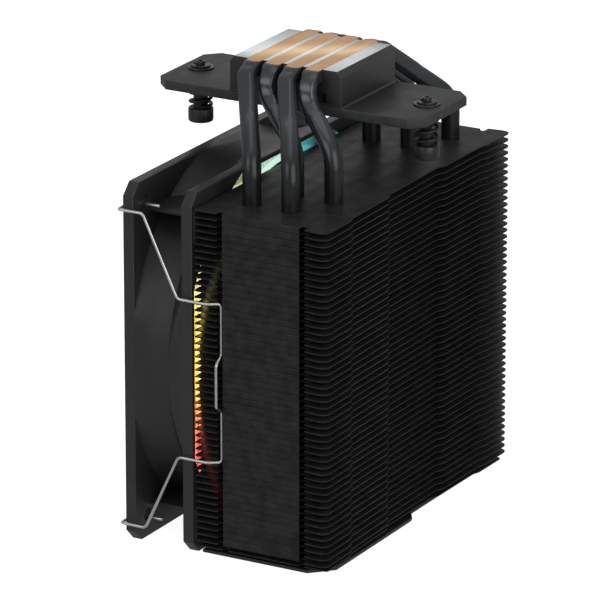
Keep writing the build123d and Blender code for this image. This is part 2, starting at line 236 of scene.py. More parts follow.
M["steel"] = steel_wire()
M["yoke"] = plain_metal("yoke_zinc_steel", (0.42, 0.43, 0.45), (0.55, 0.56, 0.57), 0.35)
M["shaft"] = plain_metal("shaft_ground_steel", (0.6, 0.6, 0.61), (0.72, 0.72, 0.72), 0.2)
M["bronze"] = plain_metal("sleeve_bronze", (0.42, 0.25, 0.11), (0.55, 0.36, 0.17), 0.42)
M["lamination"] = plain_metal("core_lamination", (0.22, 0.22, 0.23), (0.33, 0.33, 0.34), 0.45, 600, 1.2e-5)
M["copper_wire"] = plain_metal("coil_copper", (0.5, 0.2, 0.08), (0.62, 0.28, 0.12), 0.33, 700, 4e-5)
M["magnet"] = painted("magnet_ferrite", (0.02, 0.02, 0.022), (0.035, 0.035, 0.037), 0.62, 0.06, 1300, 1.5e-5, None, cloud=130)


def painted_highlight_band(k, x, y):
    """painted highlight: a bright band across the milled face where the lamp's reflection falls, fading towards the
    ends
    """
    u = k.math("DIVIDE", k.math("ADD", x, k.math("MULTIPLY", y, 0.56)), 0.0068)
    return k.math("EXPONENT", k.math("MULTIPLY", k.math("MULTIPLY", u, u), -1.0))


def pipe_material():
    """black nickel plate; bare copper where the base was machined flat"""
    k = Mat("pipe_black_nickel")
    x, y, z = k.xyz()
    flat = k.remap(z, 0.153262, 0.153284, 0, 1)
    # black nickel
    cloud = k.noise(55, 4, 0.6)
    draw = k.noise(700, 3, 0.55, stretch=(1, 1, 0.06))
    nickel = k.mix(k.remap(cloud, 0.3, 0.7, 0, 1), (0.040, 0.042, 0.043), (0.056, 0.058, 0.059))
    # painted sheen: the upper legs and bends are lighter and bluer, standing in for the lamp's reflection on the
    # flattened faces
    painted_upper_sheen = k.mix(k.remap(cloud, 0.3, 0.7, 0, 1), (0.100, 0.110, 0.119), (0.130, 0.142, 0.152))
    nickel = k.mix(k.remap(z, 0.127, 0.141, 0, 1, True), nickel, painted_upper_sheen)
    nickel_r = k.math("ADD", k.remap(cloud, 0.3, 0.7, 0.22, 0.3), k.remap(draw, 0.3, 0.7, -0.03, 0.04))
    # copper, fly-cut along X with fine lines
    mill = k.noise(3800, 2, 0.5, stretch=(0.03, 1, 1))
    blotch = k.noise(140, 4, 0.6, stretch=(0.5, 1, 1))
    # copper colour for the ends and a pale copy for the middle; mixing them along the band below is painted highlight
    ends = k.mix(k.remap(mill, 0.3, 0.7, 0, 1), (0.42, 0.20, 0.06), (0.58, 0.29, 0.10))
    middle = k.mix(k.remap(mill, 0.3, 0.7, 0, 1), (0.84, 0.54, 0.25), (0.96, 0.70, 0.37))
    copper = k.mix(painted_highlight_band(k, x, y), ends, middle)
    copper = k.mix(k.remap(blotch, 0.35, 0.7, 0, 0.3), copper, (0.54, 0.28, 0.10))
    copper_r = k.math("ADD", k.remap(blotch, 0.3, 0.7, 0.27, 0.36), k.remap(mill, 0.3, 0.7, -0.04, 0.04))
    k.bump((k.math("MULTIPLY", mill, flat), 3.5e-6), (k.math("MULTIPLY", draw, k.math("SUBTRACT", 1.0, flat)), 3e-6))
    return k.set(Base_Color=k.mix(flat, nickel, copper), Roughness=k.fmix(flat, nickel_r, copper_r),
                 Metallic=k.fmix(flat, 0.75, 1.0))


def block_material():
    """black anodised block with a fly-cut bare aluminium contact face"""
    k = Mat("block_black_anodised")
    x, y, z = k.xyz()
    flat = k.remap(z, 0.153270, 0.153292, 0, 1)
    cloud = k.noise(60, 4, 0.6)
    fine = k.noise(1500, 3, 0.6)
    black = k.mix(k.remap(cloud, 0.3, 0.7, 0, 1), (0.015, 0.015, 0.0155), (0.022, 0.022, 0.0225))
    # painted highlight on the block's rims: lighter grey along the bevels
    e = k.math("MULTIPLY", k.edge(), 0.5)
    black = k.mix(e, black, (0.10, 0.10, 0.105))
    black_r = k.math("ADD", k.remap(cloud, 0.3, 0.7, 0.32, 0.4), k.remap(fine, 0.3, 0.7, -0.03, 0.04))
    mill = k.noise(3800, 2, 0.5, stretch=(0.03, 1, 1))
    alu = k.mix(k.remap(mill, 0.3, 0.7, 0, 1), (0.56, 0.62, 0.65), (0.70, 0.76, 0.79))
    # painted highlight band: the aluminium stripes lightened across the middle
    alu = k.mix(k.math("MULTIPLY", painted_highlight_band(k, x, y), 0.7), alu, (0.92, 0.95, 0.96))
    alu_r = k.math("ADD", k.remap(cloud, 0.3, 0.7, 0.27, 0.34), k.remap(mill, 0.3, 0.7, -0.04, 0.05))
    k.bump((k.math("MULTIPLY", mill, flat), 3.5e-6), (k.math("MULTIPLY", fine, k.math("SUBTRACT", 1.0, flat)), 4e-6))
    return k.set(Base_Color=k.mix(flat, black, alu), Roughness=k.fmix(flat, black_r, alu_r), Metallic=k.fmix(flat, 0.1, 1.0))


M["pipe"] = pipe_material()
M["block"] = block_material()

# colours round the light ring, by angle about the fan axis from +X towards +Z (share of a turn)
RING = [(0.000, (1.00, 0.42, 0.06)), (0.045, (1.00, 0.72, 0.14)), (0.095, (1.00, 0.93, 0.42)), (0.165, (0.27, 0.32, 0.14)),
        (0.215, (0.23, 0.31, 0.25)), (0.262, (0.12, 0.26, 0.26)), (0.285, (0.02, 0.12, 0.14)), (0.305, (0.002, 0.010, 0.012)), (0.37, (0.02, 0.20, 0.10)), (0.47, (0.10, 0.55, 0.85)),
        (0.58, (0.12, 0.28, 1.00)), (0.70, (0.50, 0.15, 1.00)), (0.80, (0.95, 0.12, 0.65)), (0.88, (1.00, 0.08, 0.12)),
        (0.935, (1.00, 0.14, 0.08)), (1.000, (1.00, 0.42, 0.06))]


def ring_colour(k):
    x, y, z = k.xyz()
    a = k.math("ARCTAN2", k.math("SUBTRACT", z, 0.060), x)
    turn = k.math("FRACT", k.math("ADD", k.math("DIVIDE", a, 2 * pi), 1.0))
    r = k.node("ShaderNodeValToRGB")
    r.color_ramp.interpolation = "EASE"
    el = r.color_ramp.elements
    el[0].position, el[0].color = RING[0][0], (*RING[0][1], 1)
    el[1].position, el[1].color = RING[-1][0], (*RING[-1][1], 1)
    for p, c in RING[1:-1]:
        e = el.new(p)
        e.color = (*c, 1)
    k.link(turn, r.inputs[0])
    return r.outputs[0], turn


def diffuser_material():
    k = Mat("light_diffuser")
    col, turn = ring_colour(k)
    cloud = k.noise(160, 3, 0.6)
    fine = k.noise(1700, 3, 0.6)
    body = k.mix(k.remap(cloud, 0.3, 0.7, 0.45, 0.6), (0.16, 0.16, 0.16), col)
    k.bump((cloud, 2e-6))
    glow = k.mix(k.remap(cloud, 0.3, 0.7, 0.0, 0.02), col, (1, 1, 1))
    return k.set(Base_Color=body, Roughness=k.remap(fine, 0.3, 0.7, 0.55, 0.62), Specular_IOR_Level=0.15, Emission_Color=glow, Emission_Strength=RING_POWER)


RING_POWER = 2.7
M["diffuser"] = diffuser_material()


def led_material():
    k = Mat("led_package")
    fine = k.noise(1800, 3, 0.6)
    cloud = k.noise(300, 3, 0.6)
    k.bump((fine, 6e-6))
    return k.set(Base_Color=k.mix(cloud, (0.75, 0.73, 0.62), (0.85, 0.84, 0.8)), Roughness=k.remap(fine, 0.3, 0.7, 0.35, 0.5),
                 Emission_Color=(1.0, 0.9, 1.15), Emission_Strength=0.6)


M["led"] = led_material()


# ------------------------------------------------------------------ mesh tools
def finish_piece(me, name, mat, body, nodes=(), angle=35.0, mm=True):
    """turns a mesh in millimetres into a shown piece that rides on its body"""
    if mm:
        me.transform(TO_FRAME)
    bm = bmesh.new()
    bm.from_mesh(me)
    bmesh.ops.recalc_face_normals(bm, faces=bm.faces)
    bm.to_mesh(me)
    bm.free()
    for p in me.polygons:
        p.use_smooth = True
    me.set_sharp_from_angle(angle=radians(angle))
    me.materials.clear()
    me.materials.append(M[mat])
    me.update()
    ob = bpy.data.objects.new(name, me)
    bpy.context.scene.collection.objects.link(ob)
    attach(ob, body)
    if nodes:
        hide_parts(*nodes)
    return ob


def mesh_from(verts, faces, name="m"):
    me = bpy.data.meshes.new(name)
    me.from_pydata([tuple(v) for v in verts], [], faces)
    me.validate()
    me.update()
    return me


def joined(parts, name="j"):
    """one mesh from several"""
    verts, faces = [], []
    for me in parts:
        o = len(verts)
        verts += [tuple(v.co) for v in me.vertices]
        faces += [[o + i for i in p.vertices] for p in me.polygons]
    return mesh_from(verts, faces, name)


def moved(me, mat):
    c = me.copy()
    c.transform(mat)
    return c


def circle_pts(cx, cy, r, n, start=0.0):
    return [(cx + r * cos(start + 2 * pi * i / n), cy + r * sin(start + 2 * pi * i / n)) for i in range(n)]


def flat_plate(outline, holes, z0, z1, bevel=0.0, res=1):
    """plate with holes between z0 and z1, its rims rounded inward by bevel"""
    cu = bpy.data.curves.new("tmp", "CURVE")
    cu.dimensions = "2D"
    cu.fill_mode = "BOTH"
    cu.extrude = (z1 - z0) / 2 - bevel
    cu.bevel_depth = bevel
    cu.bevel_resolution = res
    cu.offset = -bevel
    for loop in [outline] + list(holes):
        s = cu.splines.new("POLY")
        s.points.add(len(loop) - 1)
        for p, q in zip(s.points, loop):
            p.co = (q[0], q[1], 0, 1)
        s.use_cyclic_u = True
    ob = bpy.data.objects.new("tmp", cu)
    bpy.context.scene.collection.objects.link(ob)
    dg = bpy.context.evaluated_depsgraph_get()
    me = bpy.data.meshes.new_from_object(ob.evaluated_get(dg), depsgraph=dg)
    bpy.data.objects.remove(ob)
    bpy.data.curves.remove(cu)
    me.transform(Matrix.Translation((0, 0, (z0 + z1) / 2)))
    bm = bmesh.new()
    bm.from_mesh(me)
    bmesh.ops.remove_doubles(bm, verts=bm.verts, dist=0.002)
    bmesh.ops.dissolve_degenerate(bm, edges=bm.edges, dist=0.0005)
    bmesh.ops.recalc_face_normals(bm, faces=bm.faces)
    bm.to_mesh(me)
    bm.free()
    return me


TO_Y = Matrix(((1, 0, 0, 0), (0, 0, 1, 0), (0, 1, 0, 0), (0, 0, 0, 1)))       # plate in (X, Z), thick along Y
TO_X = Matrix(((0, 0, 1, 0), (1, 0, 0, 0), (0, 1, 0, 0), (0, 0, 0, 1)))       # plate in (Y, Z), thick along X


def lathe(profile, n, axis="z", centre=(0, 0, 0), closed=False):
    """turned body; profile is (radius, height) pairs. An open profile starts and ends on the axis."""
    verts, faces, rings = [], [], []
    for r, h in profile:
        if r < 1e-6:
            verts.append((0, 0, h))
            rings.append([len(verts) - 1])
        else:
            o = len(verts)
            verts += [(r * cos(2 * pi * i / n), r * sin(2 * pi * i / n), h) for i in range(n)]
            rings.append(list(range(o, o + n)))
    pairs = list(zip(rings, rings[1:])) + ([(rings[-1], rings[0])] if closed else [])
    for a, b in pairs:
        for i in range(n):
            j = (i + 1) % n
            if len(a) == 1 and len(b) == 1:
                continue
            if len(a) == 1:
                faces.append((a[0], b[j], b[i]))
            elif len(b) == 1:
                faces.append((a[i], a[j], b[0]))
            else:
                faces.append((a[i], a[j], b[j], b[i]))
    cx, cy, cz = centre
    if axis == "y":
        verts = [(cx + x, cy + z, cz + y) for x, y, z in verts]
    else:
        verts = [(cx + x, cy + y, cz + z) for x, y, z in verts]
    return mesh_from(verts, faces)


def box_mesh(x0, x1, y0, y1, z0, z1, bevel=0.0, seg=2):
    bm = bmesh.new()
    bmesh.ops.create_cube(bm, size=1.0)
    for v in bm.verts:
        v.co = Vector(((x0 + x1) / 2 + v.co.x * (x1 - x0), (y0 + y1) / 2 + v.co.y * (y1 - y0), (z0 + z1) / 2 + v.co.z * (z1 - z0)))
    if bevel:
        bmesh.ops.bevel(bm, geom=list(bm.edges), offset=bevel, segments=seg, profile=0.5, affect="EDGES")
    me = bpy.data.meshes.new("b")
    bm.to_mesh(me)
    bm.free()
    return me


def boolean(a, b, op):
    """a op b on two closed meshes, exactly"""
    oa, ob = bpy.data.objects.new("ta", a), bpy.data.objects.new("tb", b)
    for o in (oa, ob):
        bpy.context.scene.collection.objects.link(o)
    m = oa.modifiers.new("b", "BOOLEAN")
    m.operation, m.solver, m.object = op, "EXACT", ob
    m.use_self = False
    dg = bpy.context.evaluated_depsgraph_get()
    me = bpy.data.meshes.new_from_object(oa.evaluated_get(dg), depsgraph=dg)
    bpy.data.objects.remove(oa)
    bpy.data.objects.remove(ob)
    return me


def rounded_points(pts, radii, step=1.0, arc=8, length_step=None):
    """points along a polyline whose corners are rounded"""
    out = []
    cur = Vector(pts[0])

    def run(a, b):
        n = max(1, int((b - a).length / (length_step or 1e9)))
        return [a + (b - a) * (i / n) for i in range(n)]
    for k in range(1, len(pts) - 1):
        p, a, b = Vector(pts[k]), Vector(pts[k - 1]), Vector(pts[k + 1])
        u, v = (a - p).normalized(), (b - p).normalized()
        ang = u.angle(v)
        r = radii[k - 1]
        t = r / tan(ang / 2)
        s, e = p + u * t, p + v * t
        bis = (u + v).normalized()
        c = p + bis * (r / sin(ang / 2))
        out += run(cur, s)
        va, vb = s - c, e - c
        sweep = va.angle(vb)
        ax = va.cross(vb).normalized()
        n = max(3, int(arc * sweep / 0.8))
        for i in range(n):
            out.append(c + Matrix.Rotation(sweep * i / n, 3, ax) @ va)
        cur = e
    end = Vector(pts[-1])
    out += run(cur, end) + [end]
    return out


def sweep_mesh(path, section, up=None, cap=True):
    """sweeps section(i) -> [(u, v)] along the points, carrying one frame without twist"""
    n = len(path)
    tang = []
    for i in range(n):
        a, b = path[max(0, i - 1)], path[min(n - 1, i + 1)]
        tang.append((b - a).normalized())
    ref = Vector(up) if up else Vector((0.37, 0.81, 0.45))
    v = (ref - tang[0] * ref.dot(tang[0])).normalized()
    verts, faces, m = [], [], None
    for i in range(n):
        if i:
            q = tang[i - 1].rotation_difference(tang[i])
            v = q @ v
            v = (v - tang[i] * v.dot(tang[i])).normalized()
        u = v.cross(tang[i]).normalized()
        ring = section(i)
        m = len(ring)
        verts += [path[i] + u * a + v * b for a, b in ring]
    for i in range(n - 1):
        for j in range(m):
            k = (j + 1) % m
            faces.append((i * m + j, i * m + k, (i + 1) * m + k, (i + 1) * m + j))
    if cap:
        faces.append(tuple(range(m))[::-1])
        faces.append(tuple((n - 1) * m + j for j in range(m)))
    return mesh_from(verts, faces)


# ------------------------------------------------------------------ heat pipes
BASE_Y = [23.9, 31.1, 38.3, 45.5]
FOOT_Y = [38.9, 45.9, 52.9, 59.9]
TOP_Z = 153.3


def leg(i, inner):
    yb, yf = BASE_Y[i], FOOT_Y[i]
    if inner:
        return [(31.4, yf, 1.9), (31.4, yf, 131.0), (23.2, yb + 0.4, 144.0), (22.3, yb, 150.3)], [11.0, 7.0, 3.6]
    return [(46.2, yf, 1.9), (46.2, yf, 129.5), (23.5, yb, 150.3)], [11.0, 6.0]


def pipe_path(i):
    near, rn = leg(i, i % 2 == 1)
    far, rf = leg(i, i % 2 == 0)
    return near + [(-x, y, z) for x, y, z in reversed(far)], rn + rf[::-1]


def smin(a, b, k):
    h = max(0.0, min(1.0, 0.5 + 0.5 * (b - a) / k))
    return b + (a - b) * h - k * h * (1 - h)


def pipe_mesh(i):
    pts, radii = pipe_path(i)
    coarse = rounded_points(pts, radii, arc=14, length_step=1.2)
    # thin out the long hidden run in the fins, keep the bends fine
    path = []
    for p in coarse:
        if p.z < 114 and path and (path[-1] - p).length < 14 and path[-1].z < 114:
            if p is not coarse[0] and p is not coarse[-1]:
                continue
        path.append(p)
    n = len(path)
    # arc length along the pipe
    d = [0.0]
    for a, b in zip(path, path[1:]):
        d.append(d[-1] + (b - a).length)
    segs = 40

    def section(k):
        p = path[k]
        ax = abs(p.x)
        # share of pressing: 1 through the base, fading to round at the knee
        if ax < 18.2:
            f = 1.0
        else:
            f = max(0.0, min(1.0, (p.z - 130.0) / 19.0))
            f = f * f * (3 - 2 * f)
        w = min(1.0, max(0.0, (ax - 20.2) / 2.6))
        press = 1.0 - w * w * (3 - 2 * w) if p.z > 146.0 else 0.0
        end_round = 1.0
        if d[k] < 1.5:
            end_round = sqrt(max(0.02, 1 - (1 - d[k] / 1.5) ** 2)) * 0.5 + 0.5
        if d[-1] - d[k] < 1.5:
            end_round = sqrt(max(0.02, 1 - (1 - (d[-1] - d[k]) / 1.5) ** 2)) * 0.5 + 0.5
        ring = []
        for j in range(segs):
            a = 2 * pi * (j + 0.5) / segs
            cu, cv = cos(a), sin(a)
            u0, v0 = 3.0 * cu, 3.0 * cv
            # pressed: wide flat top at v = 3.4 (milled back to the face), round below
            e = 2.3 + (4.7 if ax < 17.9 else 2.4) * press ** 2 if cv > 0 else 2.3
            q = (abs(cu) ** e + abs(cv) ** e) ** (-1 / e)
            u1 = 2.76 * cu * q
            v1 = (3.0 + 7.0 * max(0.0, press - 0.8) if cv > 0 else 2.4 + 0.6 * (1 - press)) * cv * q
            u, v = u0 + (u1 - u0) * press, v0 + (v1 - v0) * press
            # past the block the milled face ends in a rounded tongue
            if cv > 0 and 17.9 < ax and p.z > 146.0:
                over = min(1.0, max(0.0, ((ax - 17.9) / 3.1) ** 2 + (u / 2.76) ** 2 - 1.0))
                v = min(v, 3.02 - 0.6 * over)
            # outer face of the leg, drawn flat towards the base
            if f > 0 and press < 1:
                lim = 3.0 - 0.75 * f
                flat_v = smin(v, lim, 0.35)
                v = v + (flat_v - v) * (1 - press) * 1.0
            ring.append((u * end_round, v * end_round))
        return ring

    me = sweep_mesh_pipe(path, section)
    for w in me.vertices:
        if w.co.z > TOP_Z:
            w.co.z = TOP_Z
    return me


def sweep_mesh_pipe(path, section):
    """as sweep_mesh, but v always points out of the U, so the pressed face follows the pipe"""
    n = len(path)
    verts, faces, m = [], [], None
    prev = None
    for i in range(n):
        a, b = path[max(0, i - 1)], path[min(n - 1, i + 1)]
        t = (b - a).normalized()
        ref = Vector((path[i].x * 0.9, 0, 0)) if path[i].z < 128 else Vector((path[i].x * 0.12, 0, 3.0 if path[i].z > 140 else 3.0 * (path[i].z - 128) / 12 + 0.01))
        if path[i].z < 140 and path[i].z >= 128:
            w = (path[i].z - 128) / 12
            ref = Vector((1.0 if path[i].x > 0 else -1.0, 0, 0)) * (1 - w) + Vector((0.3 if path[i].x > 0 else -0.3, 0, 1.0)) * w
        v = (ref - t * ref.dot(t)).normalized()
        if prev is not None and v.dot(prev) < 0:
            v = -v
        prev = v
        u = v.cross(t).normalized()
        ring = section(i)
        m = len(ring)
        verts += [path[i] + u * p + v * q for p, q in ring]
    for i in range(n - 1):
        for j in range(m):
            k = (j + 1) % m
            faces.append((i * m + j, i * m + k, (i + 1) * m + k, (i + 1) * m + j))
    faces.append(tuple(range(m))[::-1])
    faces.append(tuple((n - 1) * m + j for j in range(m)))
    return mesh_from(verts, faces)


for i in range(4):
    finish_piece(pipe_mesh(i), "pipe_%d" % (i + 1), "pipe", "heatsink", ["heat_pipe_%d" % (i + 1)], 50)

# ------------------------------------------------------------------ fins
PITCH, FIN_T, FIN_TOP = 2.2, 0.4, 115.6
feet = []
for i in range(4):
    q = pipe_path(i)[0]
    feet += [(q[0][0], q[0][1]), (q[-1][0], q[-1][1])]


def corner(p, a, b, r, n=4):
    """arc of radius r round corner p between neighbours a and b"""
    P, A, B = Vector((*p, 0)), Vector((*a, 0)), Vector((*b, 0))
    u, v = (A - P).normalized(), (B - P).normalized()
    ang = u.angle(v)
    t = r / tan(ang / 2)
    s, e = P + u * t, P + v * t
    c = P + (u + v).normalized() * (r / sin(ang / 2))
    va, vb = s - c, e - c
    sw = va.angle(vb)
    ax = va.cross(vb).normalized()
    pts = [c + Matrix.Rotation(sw * k / n, 3, ax) @ va for k in range(n + 1)]
    return [(w.x, w.y) for w in pts]


def rounded_outline(points, radii):
    """radii: {index: radius}"""
    out = []
    n = len(points)
    for k, p in enumerate(points):
        if k in radii:
            out += corner(p, points[k - 1], points[(k + 1) % n], radii[k])
        else:
            out.append(p)
    return out


def fin_outline(wall_x):
    half = [(60.2, 25.8), (60.2, 34.0), (58.3, 34.0), (58.3, 36.1), (wall_x, 36.1), (wall_x, 63.6),
            (58.2, 63.6), (58.2, 65.9), (61.2, 65.9), (61.7, 70.6), (61.6, 72.4), (60.8, 73.6), (59.4, 74.2),
            (45.6, 74.0), (44.2, 73.6), (42.8, 73.1), (19.0, 72.8), (17.6, 72.3), (16.2, 71.5)]
    right = rounded_outline([(0, 25.8)] + half + [(0, 71.5)], {1: 0.7, 2: 0.5, 8: 0.2, 9: 0.5})[1:-1]
    return [(-x, y) for x, y in reversed(right)] + right


def fin_tab(side):
    """the side tab: a bend down from the plate, then a flat wall to the fin below"""
    prof = []
    ro, ri = 0.5, 0.12
    cx, cz = 60.2 - ro, -ro
    for k in range(5):
        a = pi / 2 * k / 4
        prof.append((cx + ro * sin(a), cz + ro * cos(a)))
    prof.append((60.2, -PITCH + 0.06))
    prof.append((60.14, -PITCH + 0.02))
    prof.append((59.86, -PITCH + 0.02))
    prof.append((59.8, -PITCH + 0.06))
    for k in range(5):
        a = pi / 2 * (4 - k) / 4
        prof.append((cx + ri * sin(a), cz + ri * cos(a)))
    y0, y1 = 36.12, 63.58
    n = len(prof)
    verts = []
    for y, s in ((y0, 0), (y1, 0)):
        verts += [(side * x, y, z) for x, z in prof]
    faces = [(i, (i + 1) % n, n + (i + 1) % n, n + i) for i in range(n)]
    faces += [tuple(range(n))[::-1], tuple(range(n, 2 * n))]
    return mesh_from(verts, faces)


def collar(x, y):
    n = 16
    ri, ro = 3.02, 3.4
    prof = [(ri, -FIN_T), (ro + 0.25, -FIN_T), (ro, -FIN_T - 0.3), (ro, -PITCH + 0.15), (ri, -PITCH + 0.15)]
    return lathe(prof, n, "z", (x, y, 0), closed=True)


def holes_at():
    return [circle_pts(x, y, 3.06, 20) for x, y in feet]


plate_tabbed = flat_plate(fin_outline(59.72), holes_at(), -FIN_T, 0, 0.07, 0)
tabs = joined([fin_tab(1), fin_tab(-1)])
collars = joined([collar(x, y) for x, y in feet])
plate_plain = flat_plate(fin_outline(60.2), holes_at(), -FIN_T, 0, 0.07, 0)
inset = []
for x, y in fin_outline(60.2):
    s = 1 if x > 0 else -1
    inset.append((s * (min(abs(x), 60.3) - 1.3), y + (1.0 if y < 50 else -1.0)))
plate_end = flat_plate(inset, holes_at(), -FIN_T, 0, 0.07, 0)
stack = []
for k in range(52):
    z = FIN_TOP - PITCH * k
    T = Matrix.Translation((0, 0, z))
    if k < 50:
        stack += [moved(plate_tabbed, T), moved(tabs, T), moved(collars, T)]
    elif k == 50:
        stack += [moved(plate_plain, T), moved(collars, T)]
    else:
        stack += [moved(plate_end, T)]
fins = finish_piece(joined(stack), "fins", "fin", "heatsink", ["fin_stack"], 30)
END_UNDER = FIN_TOP - PITCH * 51 - FIN_T

# ------------------------------------------------------------------ cover
cover_pts = [(56.3, 26.3), (56.3, 64.4), (49.2, 71.2), (0.4, 71.2), (-1.4, 70.9), (-4.0, 69.2), (-4.8, 68.1),
             (-54.6, 68.1), (-56.3, 66.4), (-56.3, 26.3)]
cover = flat_plate(cover_pts, [], 0, 1.2, 0.25, 2)
posts = [lathe([(0, 1.0), (4.0, 1.0), (4.0, END_UNDER - 0.25), (3.75, END_UNDER - 0.01), (0, END_UNDER - 0.01)], 32, "z", (x, y, 0))
         for x in (-16, 16) for y in (36.0, 62.0)]
finish_piece(joined([cover] + posts), "cover", "cover", "heatsink", ["cover_plate"], 30)

# ------------------------------------------------------------------ base block and crossbar
prof = [(13.75, 141.5), (14.05, 141.62), (14.38, 141.95), (14.5, 142.4), (14.5, 151.4), (16.0, 153.3)]
for yb in BASE_Y:
    prof += [(yb - 2.74, 153.3), (yb - 2.74, 150.0), (yb - 1.75, 147.85), (yb + 1.75, 147.85), (yb + 2.74, 150.0), (yb + 2.74, 153.3)]
prof += [(53.4, 153.3), (54.9, 151.4), (54.9, 142.4), (55.02, 141.95), (55.35, 141.62), (55.65, 141.5)]
block = flat_plate(prof, [], -17.7, 17.7, 0.22, 2)
block.transform(TO_X)
slot_cut = box_mesh(14.7, 19.0, 47.9, 49.4, 142.6, 145.4, 0.15, 2)
block = boolean(block, slot_cut, "DIFFERENCE")
finish_piece(block, "cold_block", "block", "heatsink", ["base_block"], 28)

bar_pts = [(-13.6, -13.5), (13.6, -13.5), (18, -9.1), (18, 78.5), (13.6, 82.9), (-13.6, 82.9), (-18, 78.5), (-18, -9.1)]
bar_holes = [circle_pts(0, -6.55, 1.9, 28), circle_pts(0, 75.95, 1.9, 28)]
bar_holes += [circle_pts(x, 34.7 + s * 14.4, 2.93, 28) for x in (-11, 11) for s in (-1, 1)]
bar = flat_plate(bar_pts, bar_holes, 138.4, 141.5, 0.3, 3)
finish_piece(bar, "crossbar", "bar", "heatsink", ["mounting_bracket"], 28)


# ------------------------------------------------------------------ sprung screws
def cross_recess(y, z0, depth, arm, width):
    a = box_mesh(-arm, arm, y - width / 2, y + width / 2, z0 - 1, z0 + depth, 0.12, 2)
    b = box_mesh(-width / 2, width / 2, y - arm, y + arm, z0 - 1, z0 + depth, 0.12, 2)
    return boolean(a, b, "UNION")


SCREW_PROF = [(0, 123.8), (3.45, 123.8), (3.75, 123.87), (3.98, 124.05), (4.1, 124.35), (4.1, 127.95), (3.98, 128.25), (3.75, 128.43),
              (3.45, 128.5), (2.4, 128.5), (2.4, 132.95), (2.15, 133.2), (1.68, 133.2), (1.68, 141.95), (1.6, 142.02), (1.3, 142.04), (1.3, 142.66),
              (1.42, 142.7), (1.5, 142.8), (1.5, 143.6), (1.42, 143.82), (1.2, 143.9), (0.9, 143.9), (0.8, 143.8), (0.8, 143.25), (0, 143.2)]
springs = []
for side, y in (("left", -6.55), ("right", 75.95)):
    screw = lathe(SCREW_PROF, 56, "z", (0, y, 0))
    screw = boolean(screw, cross_recess(y, 123.8, 2.0, 2.1, 0.9), "DIFFERENCE")
    finish_piece(screw, "screw_" + side, "screw", "screw_" + side, ["spring_screw_" + side], 30)

    washer = lathe([(1.75, 141.56), (1.79, 141.52), (4.2, 141.52), (4.28, 141.56), (4.3, 141.64), (4.3, 141.88), (4.25, 141.97), (4.15, 142.0),
                    (1.79, 142.0), (1.75, 141.96)], 56, "z", (0, y, 0), closed=True)
    finish_piece(washer, "washer_" + side, "screw", "retainer_" + side, ["stem_washer_" + side], 30)

    # E-clip: open ring with two ear notches
    out = []
    n = 44
    for k in range(n + 1):
        a = radians(-90 + 17.0) + radians(360 - 34.0) * k / n
        r = 3.3
        for ea in (5.0, 175.0):
            dd = abs((a * 180 / pi - ea + 540) % 360 - 180)
            if dd < 14:
                r = 3.3 - 0.75 * cos(pi / 2 * dd / 14)
        out.append((r * cos(a), y + r * sin(a)))
    inn = []
    for k in range(17):
        a = radians(-90 - 47.0) - radians(360 - 94.0) * k / 16
        inn.append((1.36 * cos(a), y + 1.36 * sin(a)))
    eclip = flat_plate(out + inn, [], 142.04, 142.64, 0.08, 1)
    finish_piece(eclip, "keeper_" + side, "screw", "retainer_" + side, ["e_clip_" + side], 30)

    # spring, closed coils at both ends
    z0, z1, wr, cr = 128.5, 138.4, 0.6, 3.4
    dead, active = 0.5, 2.6
    lo, hi = z0 + wr + 0.02, z1 - wr - 0.02
    rise = 1.22 * dead
    pitch = (hi - lo - 2 * rise) / active
    path = []
    turns = 2 * dead + active
    n = int(turns * 28)
    for k in range(n + 1):
        t = turns * k / n
        if t < dead:
            z = lo + 1.22 * t
        elif t < dead + active:
            z = lo + rise + pitch * (t - dead)
        else:
            z = lo + rise + pitch * active + 1.22 * (t - dead - active)
        z = min(max(z, lo), hi)
        a = 2 * pi * t + (0.6 if side == "left" else 2.4)
        path.append(Vector((cr * cos(a), y + cr * sin(a), z)))
    coil = sweep_mesh(path, lambda i: [(wr * cos(2 * pi * j / 12), wr * sin(2 * pi * j / 12)) for j in range(12)], up=(0, 0, 1))
    ob = finish_piece(coil, "spring_" + side, "spring", "heatsink", ["screw_spring_" + side], 40)
    springs.append((ob, side, y))

for ob, side, y in springs:
    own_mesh(ob)

# ------------------------------------------------------------------ fan housing
def square_oct(h, c0):
    c = h - c0
    return [(-c, -h), (c, -h), (h, -c), (h, c), (c, h), (-c, h), (-h, c), (-h, -c)]


def at_fan(pts):
    return [(x, z + FAN_Z) for x, z in pts]


screw_holes = [circle_pts(x, FAN_Z + z, 2.2, 28) for x in (-52.5, 52.5) for z in (-52.5, 52.5)]
octagon = at_fan(square_oct(60.0, 3.9))
front = flat_plate(octagon, [circle_pts(0, FAN_Z, 59.0, 144)] + screw_holes, 0, 3.84, 0.35, 3)
front.transform(TO_Y)
rear = flat_plate(octagon, [circle_pts(0, FAN_Z, 58.0, 144)] + screw_holes, 21.16, 25.0, 0.35, 3)
rear.transform(TO_Y)
